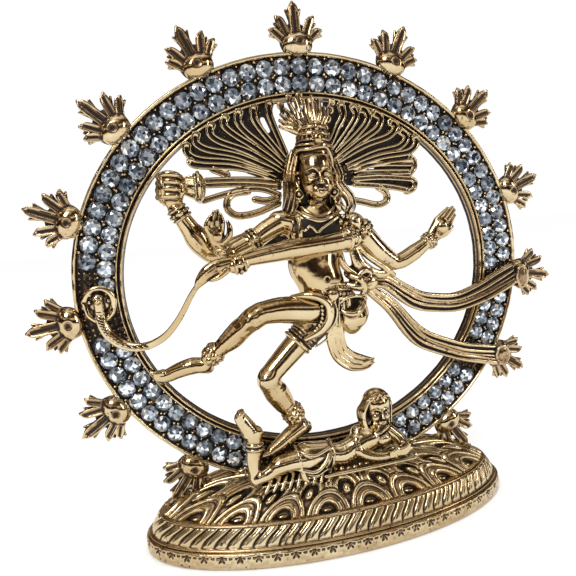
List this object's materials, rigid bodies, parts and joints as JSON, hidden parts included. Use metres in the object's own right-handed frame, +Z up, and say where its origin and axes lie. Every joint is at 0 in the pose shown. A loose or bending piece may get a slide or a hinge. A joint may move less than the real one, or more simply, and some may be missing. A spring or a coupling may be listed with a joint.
{
  "type": "dancing figure statuette in a flame ring",
  "caption": "Small cast four-armed dancing figure in an oval ring of flames set with glass stones, standing on a lying dwarf on an oval lotus base.",
  "frame": {"origin": "centre of the oval footprint on the underside of the base", "axes": "+Z up; the figure faces -Y; +X to the viewer's right, along the ring's width"},
  "size_m": [0.1094, 0.031, 0.1016],
  "materials": {
    "figure_gold": "polished antique gold plate, dark in the hollows",
    "base_gold": "polished antique gold plate with brown patina in the relief",
    "antiqued_gold": "blackened gold plate, rough",
    "crystal": "faceted foil-backed glass, pale blue"
  },
  "bodies": {
    "root": {"base_foot_band": "base_gold", "base_rope_band": "base_gold", "lotus_tier": "base_gold", "platform_slab": "figure_gold", "ring_plate": "antiqued_gold", "ring_outer_rim": "figure_gold", "ring_inner_rim": "figure_gold", "stones_outer_row": "crystal", "stones_inner_row": "crystal", "flame_01": "figure_gold", "flame_02": "figure_gold", "flame_03": "figure_gold", "flame_04": "figure_gold", "flame_05": "figure_gold", "flame_06": "figure_gold", "flame_07": "figure_gold", "flame_08": "figure_gold", "flame_09": "figure_gold", "flame_10": "figure_gold", "flame_11": "figure_gold", "flame_12": "figure_gold", "flame_13": "figure_gold", "dancer_torso": "figure_gold", "dancer_head": "figure_gold", "crown": "figure_gold", "crown_plume": "figure_gold", "hair_fan_left": "antiqued_gold", "hair_fan_right": "antiqued_gold", "hair_locks": "figure_gold", "crossing_arm": "figure_gold", "blessing_arm": "figure_gold", "drum_arm": "figure_gold", "flame_arm": "figure_gold", "hand_drum": "figure_gold", "dancer_shorts": "figure_gold", "raised_leg": "figure_gold", "standing_leg": "figure_gold", "waist_belt": "figure_gold", "necklace": "figure_gold", "armlets": "figure_gold", "bracelets": "figure_gold", "anklets": "figure_gold", "sash_upper": "figure_gold", "sash_lower": "figure_gold", "sash_knot": "figure_gold", "hip_sash": "figure_gold", "hip_pouch": "figure_gold", "cobra": "figure_gold", "dwarf_torso": "figure_gold", "dwarf_head": "figure_gold", "dwarf_arms": "figure_gold", "dwarf_legs": "figure_gold", "dwarf_cloth": "figure_gold"}
  },
  "joints": []
}
